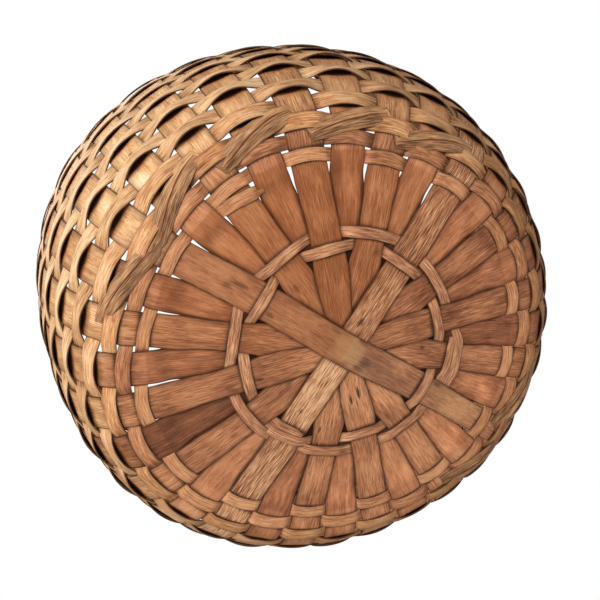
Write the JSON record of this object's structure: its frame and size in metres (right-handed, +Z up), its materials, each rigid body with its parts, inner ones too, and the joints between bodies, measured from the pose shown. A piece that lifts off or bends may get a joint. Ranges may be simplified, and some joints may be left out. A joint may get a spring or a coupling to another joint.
{
  "type": "harvest basket",
  "caption": "Round open basket woven from flat wood splints: a double crossed bottom turns up into uprights, plain-woven weavers form a bellied wall, and hoops with a lashing close the rim.",
  "frame": {"origin": "centre of the basket on the plane that it stands on, under its first weaver", "axes": "+Z up through the mouth; +X and +Y along arms of the outer bottom"},
  "size_m": [0.4192, 0.4192, 0.2064],
  "materials": {
    "outer_bottom_splint": "aged, rubbed ash splint, satin",
    "inner_bottom_splint": "aged ash splint, satin",
    "ring_splint": "aged ash splint, satin",
    "base_weaver": "aged ash splint, satin",
    "wall_weaver": "golden ash splint, slight gloss",
    "twining_splint": "dark twisted ash splint, matt",
    "rim_hoop": "shaved ash hoop, satin",
    "rim_lashing": "ash splint lashing, satin"
  },
  "bodies": {
    "root": {"primary_splint_1": "outer_bottom_splint", "primary_splint_2": "outer_bottom_splint", "primary_splint_3": "outer_bottom_splint", "primary_splint_4": "outer_bottom_splint", "primary_splint_5": "outer_bottom_splint", "primary_splint_6": "outer_bottom_splint", "primary_splint_7": "outer_bottom_splint", "primary_splint_8": "outer_bottom_splint", "secondary_splint_1": "inner_bottom_splint", "secondary_splint_2": "inner_bottom_splint", "secondary_splint_3": "inner_bottom_splint", "secondary_splint_4": "inner_bottom_splint", "secondary_splint_5": "inner_bottom_splint", "secondary_splint_6": "inner_bottom_splint", "secondary_splint_7": "inner_bottom_splint", "secondary_splint_8": "inner_bottom_splint", "inner_ring_course": "ring_splint", "outer_ring_course": "ring_splint", "weaver_row_01": "base_weaver", "weaver_row_02": "base_weaver", "weaver_row_03": "base_weaver", "weaver_row_04": "wall_weaver", "weaver_row_05": "wall_weaver", "weaver_row_06": "wall_weaver", "weaver_row_07": "wall_weaver", "weaver_row_08": "wall_weaver", "weaver_row_09": "wall_weaver", "weaver_row_10": "wall_weaver", "weaver_row_11": "wall_weaver", "weaver_row_12": "wall_weaver", "weaver_row_13": "wall_weaver", "weaver_row_14": "wall_weaver", "weaver_row_15": "wall_weaver", "weaver_row_16": "wall_weaver", "weaver_row_17": "wall_weaver", "long_twining_strand": "twining_splint", "short_twining_strand": "twining_splint", "outer_rim_hoop": "rim_hoop", "inner_rim_hoop": "rim_hoop", "rim_lashing": "rim_lashing"}
  },
  "joints": []
}
